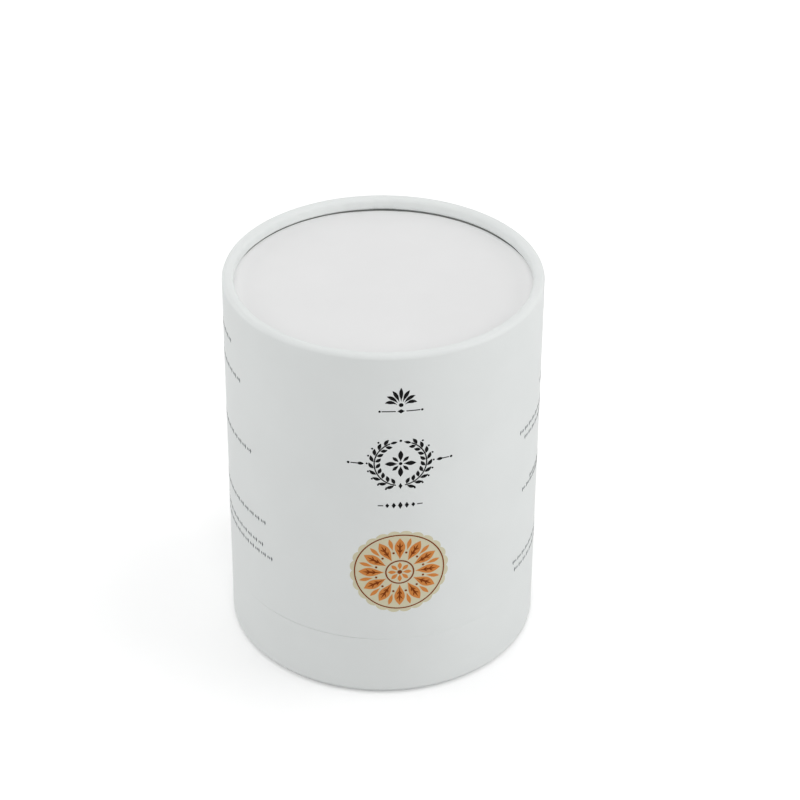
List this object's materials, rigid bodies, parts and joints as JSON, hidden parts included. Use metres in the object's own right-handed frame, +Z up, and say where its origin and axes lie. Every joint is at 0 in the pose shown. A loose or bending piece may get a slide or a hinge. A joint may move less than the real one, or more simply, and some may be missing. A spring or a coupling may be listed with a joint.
{
  "type": "cylindrical gift tube box",
  "caption": "Round paper gift box: a tall lift-off lid with a rolled rim slides over a neck glued into a short base.",
  "frame": {"origin": "middle of the foot, on the surface that the box stands on", "axes": "+Z up along the tube's axis, towards the lid's rim; -Y is the printed front"},
  "size_m": [0.1, 0.1, 0.1275],
  "materials": {
    "wrapped_board": "matte",
    "wrap_paper": "matte",
    "lining_paper": "matte",
    "disc_board": "matte",
    "printing_ink": "matte"
  },
  "bodies": {
    "base": {"base_tube": "wrapped_board", "base_lining": "lining_paper", "base_disc": "disc_board", "base_disc_paper": "wrap_paper", "base_floor_paper": "lining_paper", "neck_tube": "wrapped_board", "neck_lining": "lining_paper"},
    "lid": {"lid_tube": "wrapped_board", "lid_lining": "lining_paper", "lid_disc": "disc_board", "lid_disc_paper": "wrap_paper", "lid_ceiling_paper": "lining_paper"}
  },
  "joints": [
    {"name": "lid_lift", "type": "slide", "parent": "base", "child": "lid", "axis": [0, 0, 1], "range_m": [0, 0.05]}
  ]
}
